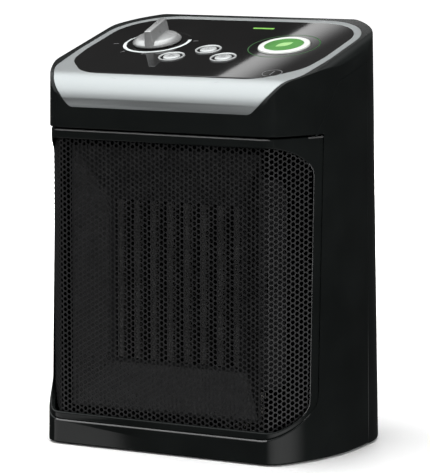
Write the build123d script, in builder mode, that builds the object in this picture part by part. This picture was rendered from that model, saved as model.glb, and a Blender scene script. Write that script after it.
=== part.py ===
"""Ceramic fan heater: housing, control head, heating element, fan and safety parts.

The frame stands at the centre of the footprint: +Z up, front towards -Y, +X to the right seen from the front.
"""
from build123d import *
from math import cos, radians, sin, tan
import os

os.makedirs("parts", exist_ok=True)

# Driving dimensions, in millimetres and degrees.
total_height = 270.0
base_width = 208.0
base_depth = 152.0
side_draft = 3.2
rear_draft = 6.0
crease_radius = 14.0
crease_turn = 57.0
cheek_radius = 120.0
rear_corner_radius = 60.0
wall = 2.5
foot_height = 1.0
panel_tilt = 14.0
band_radius = 19.5
rim_radius = 8.0
inlay = 1.2
seam_height = 204.8
opening_bottom = 16.2
opening_half_width = 96.5
frame_recess = 1.0
frame_thickness = 3.0
frame_top_gap = 1.2
rear_seam_depth = 91.0
element_width = 96.0
element_height = 102.0
element_centre_z = 106.5
element_depth = 26.0
element_thickness = 14.0
impeller_radius = 52.0
knob_radius = 16.0
knob_x = -43.3
knob_s = 79.9
knob_rest_turn = 8.5
button_places = {"left": (-17.5, 51.2), "middle": (0.5, 67.9), "right": (18.8, 53.1)}
eco_place = (48.4, 81.0)
press_travel = 1.2
bezel_radius = 8.7
bezel_bore = 6.3
button_radius = 5.6
eco_radius = 16.9
eco_lens_radius = 12.9
eco_bore = 17.35
halo_radius = 23.2
scale_radius = 22.6
scale_width = 2.2
shaft_radius = 3.0
motor_shaft_radius = 2.5
plunger_radius = 3.0
running_gap = 0.05
board_posts = [(-17, 37.5), (65, 42), (65, 98)]
board_level = -14
board_thickness = 1.6
window_half_width = 93.2
window_bottom = 21.0
window_top = 197.5
grille_bottom = 21.3
grille_top = 197.2
grille_thickness = 0.8
plate_bottom = 3.2
plate_top = 5.7
screw_radius = 1.6
base_screw_places = [(-60, -69.5), (60, -69.5), (-97.4, 5), (97.4, 5)]
rear_screw_places = [(-88, 45), (88, 45), (-87, 190), (87, 190)]
inlet_width = 120.0
inlet_height = 124.0
inlet_centre_z = 112.0
slot_rows = 18
slot_pitch = 6.8
slot_height = 3.4
filter_depth = 139.5
grip_width = 90.0
grip_height = 24.0
grip_depth = 20.0
grip_centre_z = 222.0
gland_place = (58.0, 26.0)
gland_radius = 6.5
gland_bore = 3.9
tip_place = (0.0, 44.0)
block_place = (46.0, 44.0)
terminal_places = [(-30, 171.6), (30, 171.6)]
cutout_z = 175.0
duct_mouth_depth = 9.0
duct_mouth_width = 136.0
duct_mouth_height = 168.0
duct_mouth_z = 109.0
motor_screw_places = [(-19, 0), (19, 0)]

# Places worked out from them.
front_y = -base_depth / 2
slope = tan(radians(panel_tilt))
rim_centre_depth = base_depth - rear_draft - rim_radius
rim_centre_z = total_height - rim_radius
panel_front_z = rim_centre_z + rim_radius / cos(radians(panel_tilt)) - slope * rim_centre_depth
panel = Plane(
    origin=(0, front_y, panel_front_z),
    x_dir=(1, 0, 0),
    z_dir=(0, -sin(radians(panel_tilt)), cos(radians(panel_tilt))),
)
panel_axis = Axis(panel.origin, panel.z_dir)
section_top_z = total_height + 10


def depth_y(depth):
    """Y of a plane this far behind the front face."""
    return front_y + depth


def facing(depth):
    """Sketch plane this far behind the front face, looking back: local x is +X and local y is +Z."""
    return Plane(origin=(0, depth_y(depth), 0), x_dir=(1, 0, 0), z_dir=(0, -1, 0))


def plan_outline(height, inset):
    """Plan outline of the housing at a height, moved in by the inset, as a face."""
    draft = height / total_height
    half = base_width / 2 - side_draft * draft - inset
    rear = depth_y(base_depth - rear_draft * draft) - inset
    crease = crease_radius - inset
    cheek = cheek_radius - inset
    corner = rear_corner_radius - inset
    turn = sin(radians(crease_turn))
    flat = half - crease * turn - cheek * (1 - turn)
    with BuildLine() as outline:
        across = Line((0, front_y + inset), (flat, front_y + inset))
        bend = JernArc(across @ 1, (1, 0), crease, crease_turn)
        side_bend = JernArc(bend @ 1, bend % 1, cheek, 90 - crease_turn)
        side = Line(side_bend @ 1, (half, rear - corner))
        back_bend = JernArc(side @ 1, (0, 1), corner, 90)
        Line(back_bend @ 1, (0, rear))
        mirror(about=Plane.YZ)
    make_face(outline.edges())


def housing_form(inset):
    """Solid of the housing's outer shape, moved in by the inset on every side but the bottom."""
    lower = inset / cos(radians(panel_tilt))
    with BuildPart() as form:
        with BuildSketch(Plane.XY):
            plan_outline(0, inset)
        with BuildSketch(Plane.XY.offset(section_top_z)):
            plan_outline(section_top_z, inset)
        loft(ruled=True)
        with BuildSketch(Plane.YZ):
            with BuildLine():
                start_z = panel_front_z - lower + slope * inset
                rear = depth_y(base_depth - rear_draft) - inset
                end_z = panel_front_z - lower + slope * (rear - front_y)
                FilletPolyline(
                    (depth_y(inset), 0),
                    (depth_y(inset), start_z),
                    (rear, end_z),
                    (depth_y(base_depth), 0),
                    radius=(band_radius - inset, rim_radius - inset),
                )
                Line((depth_y(base_depth), 0), (depth_y(inset), 0))
            make_face()
        extrude(amount=base_width, both=True, mode=Mode.INTERSECT)
        half = base_width / 2 - side_draft * 0.93 - inset
        with BuildSketch(Plane(origin=panel.origin, x_dir=(1, 0, 0), z_dir=-panel.y_dir)):
            with BuildLine():
                FilletPolyline(
                    (-half - 16, -total_height),
                    (-half, -inset),
                    (half, -inset),
                    (half + 16, -total_height),
                    radius=(rim_radius - inset, rim_radius - inset),
                )
                Line((half + 16, -total_height), (-half - 16, -total_height))
            make_face()
        extrude(amount=-2 * total_height, both=True, mode=Mode.INTERSECT)
    return form.part


outer_form = housing_form(0)
inlay_form = housing_form(inlay)
inner_form = housing_form(wall)

# Head zone: everything above the edge that runs level round the front, climbs the sides and follows the rim back.
with BuildPart() as head_zone:
    with BuildSketch(Plane.YZ):
        with BuildLine():
            FilletPolyline(
                (depth_y(-5), total_height + 20),
                (depth_y(-5), seam_height),
                (depth_y(31), seam_height),
                (depth_y(52), seam_height + 32),
                (depth_y(base_depth + 5), panel_front_z + slope * base_depth - 11),
                (depth_y(base_depth + 5), total_height + 20),
                radius=(0.5, 0.5, 14, 0.5),
            )
            Line((depth_y(base_depth + 5), total_height + 20), (depth_y(-5), total_height + 20))
        make_face()
    extrude(amount=base_width, both=True)

# Outlines of the silver trim and of the black panel inside it, in the panel's plane.
with BuildSketch(panel) as trim_outline:
    with BuildLine():
        FilletPolyline(
            (0, -4.2), (74, -4.2), (88.5, 24), (91.2, 60), (91.2, 137.4), (0, 137.4),
            radius=(20, 30, 60, 40),
        )
        mirror(about=Plane.YZ)
    make_face()
with BuildSketch(panel) as glass_outline:
    with BuildLine():
        FilletPolyline(
            (0, 13.6), (63, 13.6), (83.5, 38), (86.3, 62), (86.3, 131.7), (0, 131.7),
            radius=(25, 30, 60, 34),
        )
        mirror(about=Plane.YZ)
    make_face()


def save(piece, label):
    """Labels a finished piece and writes it to its own file."""
    piece.part.label = label
    export_step(piece.part, f"parts/{label}.step")


# Control head ---------------------------------------------------------------------------------

with BuildPart() as silver_trim:
    add(outer_form)
    add(inlay_form, mode=Mode.SUBTRACT)
    with BuildSketch(panel):
        add(trim_outline.sketch_local)
        add(glass_outline.sketch_local, mode=Mode.SUBTRACT)
    extrude(amount=24, both=True, mode=Mode.INTERSECT)
save(silver_trim, "silver_trim")

with BuildPart() as panel_blank:
    with BuildSketch(panel.offset(-inlay)):
        add(glass_outline.sketch_local)
    extrude(amount=inlay)
    add(outer_form, mode=Mode.INTERSECT)

with BuildPart() as control_panel:
    add(panel_blank.part)
    with BuildSketch(panel):
        with Locations((knob_x, knob_s)):
            Circle(shaft_radius + 2)
        with Locations(*button_places.values()):
            Circle(bezel_bore + 1.3)
        with Locations(eco_place):
            Circle(eco_bore)
    extrude(amount=-3, mode=Mode.SUBTRACT)
    with BuildSketch(panel):
        with Locations((knob_x, knob_s)):
            Circle(scale_radius)
            Circle(scale_radius - scale_width, mode=Mode.SUBTRACT)
        with Locations(eco_place):
            Circle(halo_radius + 0.3)
            Circle(halo_radius - 0.3, mode=Mode.SUBTRACT)
    extrude(amount=-0.4, mode=Mode.SUBTRACT)
save(control_panel, "control_panel")

with BuildPart() as dial_scale:
    with BuildSketch(panel.offset(-0.4)):
        with Locations((knob_x, knob_s)):
            Circle(scale_radius)
            Circle(scale_radius - scale_width, mode=Mode.SUBTRACT)
    extrude(amount=0.4)
save(dial_scale, "dial_scale")

with BuildPart() as eco_halo:
    with BuildSketch(panel.offset(-0.4)):
        with Locations(eco_place):
            Circle(halo_radius + 0.3)
            Circle(halo_radius - 0.3, mode=Mode.SUBTRACT)
    extrude(amount=0.4)
save(eco_halo, "eco_halo")

with BuildPart() as head_cover:
    add(outer_form)
    add(inner_form, mode=Mode.SUBTRACT)
    add(head_zone.part, mode=Mode.INTERSECT)
    add(silver_trim.part, mode=Mode.SUBTRACT)
    add(panel_blank.part, mode=Mode.SUBTRACT)
    with BuildSketch(panel):
        with Locations((knob_x, knob_s)):
            Circle(shaft_radius + 2)
        with Locations(*button_places.values()):
            Circle(bezel_bore + 1.3)
        with Locations(eco_place):
            Circle(eco_bore)
    extrude(amount=-8, mode=Mode.SUBTRACT)
    with BuildSketch(panel.offset(board_level + board_thickness)):
        with Locations(*board_posts):
            Circle(3.2)
    extrude(amount=-board_level - board_thickness - wall + 0.5)
    with BuildSketch(panel.offset(board_level + board_thickness)):
        with Locations(*board_posts):
            Circle(1.3)
    extrude(amount=9, mode=Mode.SUBTRACT)
save(head_cover, "head_cover")

# Three bezels with a sleeve through the panel, and in each a domed cap with a stem and a retaining flange.
with BuildPart() as button_bezels:
    with BuildSketch(panel):
        with Locations(*button_places.values()):
            Circle(bezel_radius)
            Circle(bezel_bore, mode=Mode.SUBTRACT)
    extrude(amount=0.8)
    chamfer(button_bezels.faces().group_by(panel_axis)[-1].edges(), 0.3)
    with BuildSketch(panel.offset(-wall - 0.6)):
        with Locations(*button_places.values()):
            Circle(bezel_bore + 1.2)
            Circle(bezel_bore, mode=Mode.SUBTRACT)
    extrude(amount=wall + 0.6)
save(button_bezels, "button_bezels")

for side_name, place in button_places.items():
    with BuildPart() as cap:
        with BuildSketch(panel.offset(-6)):
            with Locations(place):
                Circle(button_radius)
        extrude(amount=7)
        fillet(cap.faces().sort_by(panel_axis)[-1].edges(), 0.9)
        with BuildSketch(panel.offset(-6)):
            with Locations(place):
                Circle(button_radius + 1.8)
        extrude(amount=1.2)
    save(cap, f"{side_name}_button")

with BuildPart() as eco_button:
    with BuildSketch(panel.offset(-6)):
        with Locations(eco_place):
            Circle(eco_radius)
    extrude(amount=7.2)
    fillet(eco_button.faces().sort_by(panel_axis)[-1].edges(), 0.9)
    with BuildSketch(panel.offset(-6)):
        with Locations(eco_place):
            Circle(eco_radius + 1.6)
    extrude(amount=1.2)
    with BuildSketch(panel.offset(1.2)):
        with Locations(eco_place):
            Circle(eco_lens_radius)
    extrude(amount=-1.2, mode=Mode.SUBTRACT)
    with BuildSketch(panel.offset(-6)):
        with Locations(eco_place):
            Circle(eco_radius - 2)
            Circle(3.5, mode=Mode.SUBTRACT)
    extrude(amount=4, mode=Mode.SUBTRACT)
save(eco_button, "eco_button")

with BuildPart() as eco_lens:
    with BuildSketch(panel):
        with Locations(eco_place):
            Circle(eco_lens_radius)
    extrude(amount=1.2)
save(eco_lens, "eco_lens")

# Knob: a low round skirt with a tall bar grip across it, on the thermostat's shaft.
knob_plane = Plane(
    origin=panel.from_local_coords(Vector(knob_x, knob_s, 0.6)),
    x_dir=panel.x_dir.rotate(Axis((0, 0, 0), panel.z_dir), knob_rest_turn),
    z_dir=panel.z_dir,
)
with BuildPart() as control_knob:
    with BuildSketch(knob_plane):
        Circle(knob_radius)
    extrude(amount=4.2)
    fillet(control_knob.faces().sort_by(panel_axis)[-1].edges(), 1.8)
    with BuildSketch(knob_plane):
        RectangleRounded(8, 2 * knob_radius, 2)
    extrude(amount=11.5)
    fillet(control_knob.faces().sort_by(panel_axis)[-1].edges(), 1.5)
    with BuildSketch(knob_plane):
        Circle(shaft_radius)
    extrude(amount=7, mode=Mode.SUBTRACT)
save(control_knob, "control_knob")

with BuildPart() as thermostat_shaft:
    with BuildSketch(knob_plane.offset(-18)):
        Circle(shaft_radius)
    extrude(amount=25)
save(thermostat_shaft, "thermostat_shaft")

with BuildPart() as thermostat:
    with BuildSketch(knob_plane.offset(-wall - 0.6)):
        Rectangle(34, 28)
    extrude(amount=-17)
    with BuildSketch(knob_plane.offset(-wall - 0.6)):
        Circle(shaft_radius + 1.7)
    extrude(amount=2.4)
    with BuildSketch(knob_plane.offset(-0.6)):
        Circle(shaft_radius + running_gap)
    extrude(amount=-20, mode=Mode.SUBTRACT)
save(thermostat, "thermostat")

# Board under the panel with one tact switch below each button.
with BuildPart() as control_board:
    with BuildSketch(panel.offset(board_level)):
        with Locations((24, 68.5)):
            Rectangle(92, 69)
        with Locations((-20, 96)):
            Rectangle(24, 40, mode=Mode.SUBTRACT)
        with Locations(*board_posts):
            Circle(1.3, mode=Mode.SUBTRACT)
    extrude(amount=board_thickness)
save(control_board, "control_board")

switch_places = [*button_places.values(), eco_place]
with BuildPart() as tact_switches:
    with BuildSketch(panel.offset(-12.4)):
        with Locations(*switch_places):
            Rectangle(6, 6)
    extrude(amount=3.6)
    with BuildSketch(panel.offset(-8.8)):
        with Locations(*switch_places):
            Circle(1.7)
    extrude(amount=1.5)
save(tact_switches, "tact_switches")

with BuildPart() as board_screws:
    with BuildSketch(panel.offset(board_level)):
        with Locations(*board_posts):
            Circle(2.8)
    extrude(amount=-1.8)
    with BuildSketch(panel.offset(board_level)):
        with Locations(*board_posts):
            Circle(1.2)
    extrude(amount=8)
save(board_screws, "board_screws")


# Front frame and outlet grille ----------------------------------------------------------------

with BuildPart() as opening_zone:
    with BuildSketch(facing(-5)):
        with BuildLine():
            FilletPolyline(
                (-opening_half_width, seam_height),
                (-opening_half_width, opening_bottom),
                (opening_half_width, opening_bottom),
                (opening_half_width, seam_height),
                radius=(25, 25),
            )
            Line((opening_half_width, seam_height), (-opening_half_width, seam_height))
        make_face()
    extrude(amount=-60)

# Frame round the outlet: set back a little from the shells, with a gap below the head.
with BuildPart() as front_frame:
    add(housing_form(frame_recess))
    add(housing_form(frame_recess + frame_thickness), mode=Mode.SUBTRACT)
    add(opening_zone.part, mode=Mode.INTERSECT)
    with BuildSketch(Plane.XY.offset(seam_height)):
        Rectangle(base_width, base_depth)
    extrude(amount=-frame_top_gap, mode=Mode.SUBTRACT)
    with BuildSketch(facing(-5)):
        with Locations((0, (window_bottom + window_top) / 2)):
            RectangleRounded(2 * window_half_width, window_top - window_bottom, 18)
    extrude(amount=-60, mode=Mode.SUBTRACT)
save(front_frame, "front_frame")

# Outlet grille: a perforated sheet, flat in front and bent back at both sides.
with BuildPart() as front_grille:
    with BuildSketch(Plane.XY.offset(grille_bottom)):
        with BuildLine() as grille_line:
            FilletPolyline(
                (-92.4, depth_y(28)), (-74, depth_y(4.4)), (74, depth_y(4.4)), (92.4, depth_y(28)), radius=(8, 8)
            )
        trace(grille_line.edges(), grille_thickness)
    extrude(amount=grille_top - grille_bottom)
    with BuildSketch(facing(-5)):
        with Locations((0, (window_bottom + window_top) / 2)):
            RectangleRounded(2 * window_half_width - 0.8, window_top - window_bottom - 0.6, 17.6)
    extrude(amount=-60, mode=Mode.INTERSECT)
save(front_grille, "front_grille")

# Housing shells -------------------------------------------------------------------------------

with BuildPart() as front_shell:
    add(outer_form)
    add(inner_form, mode=Mode.SUBTRACT)
    add(head_zone.part, mode=Mode.SUBTRACT)
    add(opening_zone.part, mode=Mode.SUBTRACT)
    with BuildSketch(Plane.XY.offset(foot_height)):
        with Locations((0, depth_y(rear_seam_depth / 2 - 5))):
            Rectangle(base_width + 10, rear_seam_depth + 10)
    extrude(amount=total_height, mode=Mode.INTERSECT)
    with BuildSketch(facing(rear_seam_depth)):
        with Locations(*rear_screw_places):
            Rectangle(26, 14)
    extrude(amount=12)
    with BuildSketch(facing(rear_seam_depth)):
        with Locations(*rear_screw_places):
            Circle(screw_radius + 0.05)
    extrude(amount=14, mode=Mode.SUBTRACT)
    with BuildSketch(Plane.XY.offset(plate_top)):
        with Locations(*base_screw_places):
            Circle(4.5)
    extrude(amount=9.5)
    with BuildSketch(Plane.XY.offset(plate_top)):
        with Locations(*base_screw_places):
            Circle(screw_radius + 0.05)
    extrude(amount=8.5, mode=Mode.SUBTRACT)
    add(outer_form, mode=Mode.INTERSECT)
save(front_shell, "front_shell")

with BuildPart() as rear_cover:
    add(outer_form)
    add(inner_form, mode=Mode.SUBTRACT)
    add(head_zone.part, mode=Mode.SUBTRACT)
    with BuildSketch(Plane.XY.offset(foot_height)):
        with Locations((0, depth_y(rear_seam_depth + 40))):
            Rectangle(base_width + 10, 80)
    extrude(amount=total_height, mode=Mode.INTERSECT)
    # Frame for the dust filter on the inside.
    with BuildSketch(facing(filter_depth)):
        with Locations((0, inlet_centre_z)):
            Rectangle(inlet_width + 12, inlet_height + 12)
            Rectangle(inlet_width + 4, inlet_height + 4, mode=Mode.SUBTRACT)
    extrude(amount=-8)
    # Hand grip: a pocket let into the back below the head cover.
    with BuildSketch(facing(base_depth - grip_depth - rear_draft - wall)):
        with Locations((0, grip_centre_z)):
            RectangleRounded(grip_width + 2 * wall, grip_height + 2 * wall, 10 + wall)
    extrude(amount=-grip_depth - wall)
    # Wells that take the screws from behind.
    with BuildSketch(facing(rear_seam_depth)):
        with Locations(*rear_screw_places):
            Circle(6.2)
    extrude(amount=-50)
    add(outer_form, mode=Mode.INTERSECT)
    with BuildSketch(facing(base_depth - grip_depth - rear_draft)):
        with Locations((0, grip_centre_z)):
            RectangleRounded(grip_width, grip_height, 10)
    extrude(amount=-grip_depth - 20, mode=Mode.SUBTRACT)
    with BuildSketch(facing(rear_seam_depth + 5)):
        with Locations(*rear_screw_places):
            Circle(4.2)
    extrude(amount=-70, mode=Mode.SUBTRACT)
    with BuildSketch(facing(rear_seam_depth)):
        with Locations(*rear_screw_places):
            Circle(screw_radius + 0.2)
    extrude(amount=-10, mode=Mode.SUBTRACT)
    # Air inlet: rows of slots in three columns.
    with BuildSketch(facing(base_depth - 15)):
        with Locations((0, inlet_centre_z)):
            with GridLocations(inlet_width / 3, slot_pitch, 3, slot_rows):
                SlotOverall(inlet_width / 3 - 4, slot_height)
    extrude(amount=-30, mode=Mode.SUBTRACT)
    # Hole for the cord gland.
    with BuildSketch(facing(base_depth - 15)):
        with Locations(gland_place):
            Circle(gland_radius)
    extrude(amount=-30, mode=Mode.SUBTRACT)
save(rear_cover, "rear_cover")

with BuildPart() as base_plate:
    with BuildSketch(Plane.XY.offset(plate_bottom)):
        plan_outline(plate_bottom, wall + 0.2)
    extrude(amount=plate_top - plate_bottom)
    with BuildSketch(Plane.XY.offset(plate_bottom)):
        with Locations(*base_screw_places):
            Circle(screw_radius + 0.2)
        with Locations(tip_place):
            Circle(plunger_radius + 0.4)
    extrude(amount=plate_top - plate_bottom, mode=Mode.SUBTRACT)
save(base_plate, "base_plate")

foot_places = [(-72, depth_y(22)), (72, depth_y(22)), (-62, depth_y(128)), (62, depth_y(128))]
with BuildPart() as rubber_feet:
    with BuildSketch(Plane.XY):
        with Locations(*foot_places):
            Circle(8)
    extrude(amount=plate_bottom)
    fillet(rubber_feet.faces().group_by(Axis.Z)[0].edges(), 0.8)
save(rubber_feet, "rubber_feet")

with BuildPart() as base_screws:
    with BuildSketch(Plane.XY.offset(plate_bottom - 1.6)):
        with Locations(*base_screw_places):
            Circle(3.2)
    extrude(amount=1.6)
    with BuildSketch(Plane.XY.offset(plate_bottom)):
        with Locations(*base_screw_places):
            Circle(screw_radius)
    extrude(amount=10)
save(base_screws, "base_screws")

with BuildPart() as rear_screws:
    with BuildSketch(facing(rear_seam_depth + 5)):
        with Locations(*rear_screw_places):
            Circle(3.4)
    extrude(amount=-2)
    with BuildSketch(facing(rear_seam_depth + 5)):
        with Locations(*rear_screw_places):
            Circle(screw_radius)
    extrude(amount=15)
save(rear_screws, "rear_screws")

with BuildPart() as dust_filter:
    with BuildSketch(facing(filter_depth + 0.5)):
        with Locations((0, inlet_centre_z)):
            Rectangle(inlet_width + 3.6, inlet_height + 3.6)
    extrude(amount=-1.2)
save(dust_filter, "dust_filter")

with BuildPart() as cord_gland:
    with BuildSketch(facing(base_depth - 12)):
        with Locations(gland_place):
            Circle(gland_radius - 0.1)
    extrude(amount=-11)
    with BuildSketch(facing(base_depth - 12)):
        with Locations(gland_place):
            Circle(gland_radius + 2)
    extrude(amount=-3)
    with BuildSketch(facing(base_depth - 15)):
        with Locations(gland_place):
            Circle(gland_bore)
    extrude(amount=-20, mode=Mode.SUBTRACT)
save(cord_gland, "cord_gland")


# Heating element ------------------------------------------------------------------------------

bar_count = 8
bar_width = 4.4
fin_gap = 0.15
bar_pitch = element_width / bar_count
element_bottom = element_centre_z - element_height / 2
element_top = element_centre_z + element_height / 2

with BuildPart() as ceramic_bars:
    with BuildSketch(facing(element_depth)):
        with Locations((0, element_centre_z)):
            with GridLocations(bar_pitch, 1, bar_count, 1):
                Rectangle(bar_width, element_height)
    extrude(amount=-element_thickness)
save(ceramic_bars, "ceramic_bars")

with BuildPart() as fin_packs:
    with BuildSketch(facing(element_depth + 0.5)):
        with Locations((0, element_centre_z)):
            with GridLocations(bar_pitch, 1, bar_count - 1, 1):
                Rectangle(bar_pitch - bar_width - 2 * fin_gap, element_height - 4)
    extrude(amount=1 - element_thickness)
save(fin_packs, "fin_packs")

# Moulded frame round the element, with a lip behind it and a slot for the bars' ends.
with BuildPart() as element_frame:
    with BuildSketch(facing(element_depth - 1)):
        with Locations((0, element_centre_z)):
            RectangleRounded(element_width + 14, element_height + 16, 5)
            Rectangle(element_width - 6, element_height + 1, mode=Mode.SUBTRACT)
    extrude(amount=-element_thickness - 3)
save(element_frame, "element_frame")

with BuildPart() as element_terminals:
    with BuildSketch(facing(element_depth + 4)):
        with Locations(*terminal_places):
            Rectangle(6.3, 12)
    extrude(amount=-0.8)
save(element_terminals, "element_terminals")

with BuildPart() as thermal_cutout:
    with BuildSketch(facing(element_depth + element_thickness + 2)):
        with Locations((0, cutout_z)):
            Circle(8)
    extrude(amount=5)
    with BuildSketch(facing(element_depth + element_thickness - 3)):
        with Locations((0, cutout_z)):
            Circle(6.4)
    extrude(amount=4)
save(thermal_cutout, "thermal_cutout")

with BuildPart() as cutout_bracket:
    with BuildSketch(facing(element_depth + element_thickness + 2)):
        with Locations((0, cutout_z - 4)):
            RectangleRounded(26, 26, 3)
    extrude(amount=-1)
save(cutout_bracket, "cutout_bracket")

# Outlet duct: four flat walls that widen from the element to the grille.
with BuildPart() as heat_duct:
    with BuildSketch(facing(element_depth - 1)):
        with Locations((0, element_centre_z)):
            Rectangle(element_width + 8, element_height + 10)
    with BuildSketch(facing(duct_mouth_depth)):
        with Locations((0, duct_mouth_z)):
            Rectangle(duct_mouth_width, duct_mouth_height)
    loft()
    with BuildSketch(facing(element_depth - 1)):
        with Locations((0, element_centre_z)):
            Rectangle(element_width + 4, element_height + 6)
    with BuildSketch(facing(duct_mouth_depth)):
        with Locations((0, duct_mouth_z)):
            Rectangle(duct_mouth_width - 4, duct_mouth_height - 4)
    loft(mode=Mode.SUBTRACT)
save(heat_duct, "heat_duct")

# Fan and motor --------------------------------------------------------------------------------

shroud_depth = element_depth + element_thickness + 4
impeller_depth = shroud_depth + 6
impeller_thickness = 16.0
motor_depth = impeller_depth + impeller_thickness + 10
core_thickness = 18.0
motor_back = motor_depth + 5 + core_thickness
axle = Plane(origin=(0, depth_y(0), element_centre_z), x_dir=(-1, 0, 0), z_dir=(0, 1, 0))

with BuildPart() as fan_shroud:
    with BuildSketch(axle.offset(shroud_depth)):
        RectangleRounded(element_width + 36, element_height + 32, 8)
        Circle(impeller_radius + 3, mode=Mode.SUBTRACT)
    extrude(amount=2.5)
    with BuildSketch(axle.offset(shroud_depth)):
        Circle(impeller_radius + 5.5)
        Circle(impeller_radius + 3, mode=Mode.SUBTRACT)
    extrude(amount=motor_depth + 2 - shroud_depth)
    with BuildSketch(axle.offset(motor_depth - 1)):
        with PolarLocations(0, 3, start_angle=90):
            with Locations((impeller_radius / 2 + 12, 0)):
                Rectangle(impeller_radius - 16, 8)
        Circle(26)
        Circle(9, mode=Mode.SUBTRACT)
        with Locations(*motor_screw_places):
            Circle(screw_radius + 0.2, mode=Mode.SUBTRACT)
    extrude(amount=3)
save(fan_shroud, "fan_shroud")

blade_count = 7
blade_sweep = 30.0
with BuildPart() as fan_impeller:
    with BuildSketch(axle.offset(impeller_depth)):
        Circle(17)
        Circle(motor_shaft_radius, mode=Mode.SUBTRACT)
    extrude(amount=impeller_thickness)
    for number in range(blade_count):
        turn = number * 360 / blade_count
        blade_root = Plane(
            origin=axle.from_local_coords(Vector(0, 0, impeller_depth + impeller_thickness / 2)),
            x_dir=(0, 1, 0),
            z_dir=(sin(radians(turn)), 0, cos(radians(turn))),
        )
        with BuildSketch(blade_root.offset(15)):
            Rectangle(15, 1.8, rotation=48)
        with BuildSketch(blade_root.offset(impeller_radius - 1)):
            Rectangle(15, 1.4, rotation=28)
        loft()
save(fan_impeller, "fan_impeller")

with BuildPart() as motor_shaft:
    with BuildSketch(axle.offset(impeller_depth + 2)):
        Circle(motor_shaft_radius)
    extrude(amount=motor_depth + core_thickness + 12 - impeller_depth - 2)
save(motor_shaft, "motor_shaft")

with BuildPart() as motor_rotor:
    with BuildSketch(axle.offset(motor_depth + 5.5)):
        Circle(12.5)
        Circle(motor_shaft_radius, mode=Mode.SUBTRACT)
    extrude(amount=core_thickness - 1)
save(motor_rotor, "motor_rotor")

with BuildPart() as motor_core:
    with BuildSketch(axle.offset(motor_depth + 5)):
        Rectangle(48, 40)
        with Locations((0, -29)):
            Rectangle(48, 22)
            Rectangle(26, 12, mode=Mode.SUBTRACT)
        Circle(13.0, mode=Mode.SUBTRACT)
        with Locations(*motor_screw_places):
            Circle(screw_radius + 0.2, mode=Mode.SUBTRACT)
    extrude(amount=core_thickness)
save(motor_core, "motor_core")

with BuildPart() as motor_coil:
    with BuildSketch(axle.offset(motor_depth + 5 - 8)):
        with Locations((0, -41.5)):
            RectangleRounded(24, 24, 3)
    extrude(amount=core_thickness + 16)
    with BuildSketch(axle.offset(motor_depth + 4.6)):
        with Locations((0, -37.5)):
            Rectangle(60, 5.4)
    extrude(amount=core_thickness + 0.8, mode=Mode.SUBTRACT)
save(motor_coil, "motor_coil")

with BuildPart() as motor_brackets:
    for level, boss_level in ((motor_depth + 2, motor_depth), (motor_back, motor_back)):
        with BuildSketch(axle.offset(level)):
            RectangleRounded(46, 14, 4)
            Circle(9)
        extrude(amount=3)
        with BuildSketch(axle.offset(boss_level)):
            Circle(5)
        extrude(amount=5)
    with BuildSketch(axle.offset(motor_depth - 10)):
        Circle(motor_shaft_radius + running_gap)
        with Locations(*motor_screw_places):
            Circle(screw_radius + 0.2)
    extrude(amount=60, mode=Mode.SUBTRACT)
save(motor_brackets, "motor_brackets")

with BuildPart() as motor_screws:
    with BuildSketch(axle.offset(motor_back + 3)):
        with Locations(*motor_screw_places):
            Circle(3.2)
    extrude(amount=2)
    with BuildSketch(axle.offset(motor_depth - 1)):
        with Locations(*motor_screw_places):
            Circle(screw_radius)
    extrude(amount=motor_back + 4 - motor_depth)
save(motor_screws, "motor_screws")

# Base parts -----------------------------------------------------------------------------------

with BuildPart() as terminal_block:
    with BuildSketch(Plane.XY.offset(plate_top)):
        with Locations(block_place):
            Rectangle(34, 16)
    extrude(amount=14)
    with BuildSketch(Plane.XY.offset(plate_top + 14)):
        with Locations(block_place):
            with GridLocations(11, 1, 3, 1):
                Circle(2.6)
    extrude(amount=-6, mode=Mode.SUBTRACT)
save(terminal_block, "terminal_block")

with BuildPart() as tip_switch:
    with BuildSketch(Plane.XY.offset(plate_top)):
        with Locations(tip_place):
            Rectangle(22, 14)
    extrude(amount=18)
    with BuildSketch(Plane.XY.offset(plate_top)):
        with Locations(tip_place):
            Circle(plunger_radius + 0.3)
    extrude(amount=15, mode=Mode.SUBTRACT)
save(tip_switch, "tip_switch")

with BuildPart() as tip_plunger:
    with BuildSketch(Plane.XY.offset(0.3)):
        with Locations(tip_place):
            Circle(plunger_radius)
    extrude(amount=15)
    fillet(tip_plunger.faces().sort_by(Axis.Z)[0].edges(), 0.8)
save(tip_plunger, "tip_plunger")
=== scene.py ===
"""Ceramic fan heater: the looks of each piece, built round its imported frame.

Metres, +Z up, front towards -Y.
"""
import bmesh
import bpy
from math import atan2, ceil, cos, hypot, pi, radians, sin, sqrt, tan
from mathutils import Matrix, Vector


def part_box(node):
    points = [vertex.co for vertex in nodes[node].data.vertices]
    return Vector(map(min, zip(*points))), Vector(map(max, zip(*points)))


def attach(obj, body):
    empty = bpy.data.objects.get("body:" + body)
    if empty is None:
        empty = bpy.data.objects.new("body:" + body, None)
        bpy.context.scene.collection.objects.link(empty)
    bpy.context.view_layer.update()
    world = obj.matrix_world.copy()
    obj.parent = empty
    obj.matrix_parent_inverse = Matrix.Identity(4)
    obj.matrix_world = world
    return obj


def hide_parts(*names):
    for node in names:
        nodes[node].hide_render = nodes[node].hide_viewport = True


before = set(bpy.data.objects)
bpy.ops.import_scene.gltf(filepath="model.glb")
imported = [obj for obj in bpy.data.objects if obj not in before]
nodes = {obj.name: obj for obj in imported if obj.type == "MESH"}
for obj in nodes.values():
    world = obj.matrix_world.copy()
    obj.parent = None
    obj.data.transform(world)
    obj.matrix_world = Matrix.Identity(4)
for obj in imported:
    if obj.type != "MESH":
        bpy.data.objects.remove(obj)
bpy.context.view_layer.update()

# Studio ---------------------------------------------------------------------------------------
# A pale floor that rises into a round wall, a large soft light overhead and three weaker ones round the
# heater. Three cards show only in its polished faces. The camera stands front right.

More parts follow.
